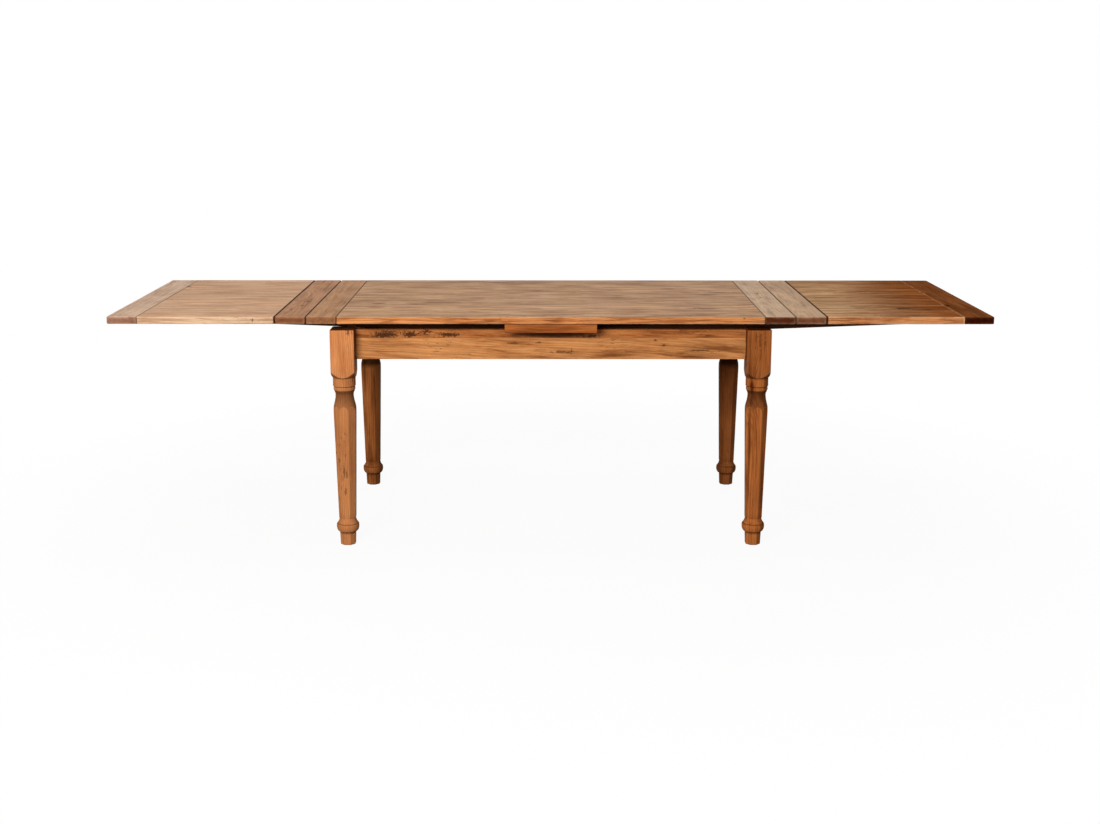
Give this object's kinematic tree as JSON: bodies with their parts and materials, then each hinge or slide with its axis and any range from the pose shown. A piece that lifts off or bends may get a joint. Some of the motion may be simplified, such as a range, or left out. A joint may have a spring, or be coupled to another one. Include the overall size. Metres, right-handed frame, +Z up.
{
  "type": "draw leaf table",
  "caption": "Wooden draw leaf dining table with loose plank top, breadboard ends, a pull-out leaf at each end on sloping lopers, and turned eight-sided legs.",
  "frame": {"origin": "on the floor under the middle of the table, both leaves drawn out", "axes": "+X along the table towards the right leaf, -Y towards the viewer, +Z up"},
  "size_m": [2.902, 0.9, 0.79],
  "materials": {
    "leg_wood": "worn satin wax",
    "apron_wood": "worn satin wax",
    "main_top_wood": "worn satin wax",
    "breadboard_wood": "worn satin wax",
    "left_leaf_wood": "worn satin wax",
    "right_leaf_wood": "worn satin wax",
    "loper_wood": "bare wood",
    "peg_wood": "bare wood"
  },
  "bodies": {
    "frame": {"front_left_leg": "leg_wood", "front_right_leg": "leg_wood", "rear_left_leg": "leg_wood", "rear_right_leg": "leg_wood", "front_apron_upper_strip": "apron_wood", "front_apron_lower_board": "apron_wood", "rear_apron_upper_strip": "apron_wood", "rear_apron_lower_board": "apron_wood", "left_end_apron": "apron_wood", "right_end_apron": "apron_wood", "centre_board": "apron_wood", "centre_rail": "apron_wood", "left_front_keeper": "loper_wood", "left_rear_keeper": "loper_wood", "right_front_keeper": "loper_wood", "right_rear_keeper": "loper_wood"},
    "main_top": {"main_plank_1": "main_top_wood", "main_plank_2": "main_top_wood", "main_plank_3": "main_top_wood", "main_plank_4": "main_top_wood", "main_plank_5": "main_top_wood", "main_plank_6": "main_top_wood", "main_plank_7": "main_top_wood", "main_left_breadboard": "breadboard_wood", "main_right_breadboard": "breadboard_wood", "guide_pegs": "peg_wood", "peg_keys": "peg_wood"},
    "left_leaf": {"left_leaf_plank_1": "left_leaf_wood", "left_leaf_plank_2": "left_leaf_wood", "left_leaf_plank_3": "left_leaf_wood", "left_leaf_plank_4": "left_leaf_wood", "left_leaf_plank_5": "left_leaf_wood", "left_leaf_plank_6": "left_leaf_wood", "left_leaf_plank_7": "left_leaf_wood", "left_leaf_inner_breadboard": "breadboard_wood", "left_leaf_outer_breadboard": "breadboard_wood", "left_front_loper": "loper_wood", "left_rear_loper": "loper_wood", "left_stop_blocks": "loper_wood"},
    "right_leaf": {"right_leaf_plank_1": "right_leaf_wood", "right_leaf_plank_2": "right_leaf_wood", "right_leaf_plank_3": "right_leaf_wood", "right_leaf_plank_4": "right_leaf_wood", "right_leaf_plank_5": "right_leaf_wood", "right_leaf_plank_6": "right_leaf_wood", "right_leaf_plank_7": "right_leaf_wood", "right_leaf_inner_breadboard": "breadboard_wood", "right_leaf_outer_breadboard": "breadboard_wood", "right_front_loper": "loper_wood", "right_rear_loper": "loper_wood", "right_stop_blocks": "loper_wood"}
  },
  "joints": [
    {"name": "top_lift", "type": "slide", "parent": "frame", "child": "main_top", "axis": [0, 0, 1], "range_m": [0, 0.045]},
    {"name": "left_leaf_draw", "type": "slide", "parent": "frame", "child": "left_leaf", "axis": [-0.9993, 0, 0.0372], "range_m": [0, 0.02]},
    {"name": "right_leaf_draw", "type": "slide", "parent": "frame", "child": "right_leaf", "axis": [0.9993, 0, 0.0372], "range_m": [0, 0.02]}
  ]
}
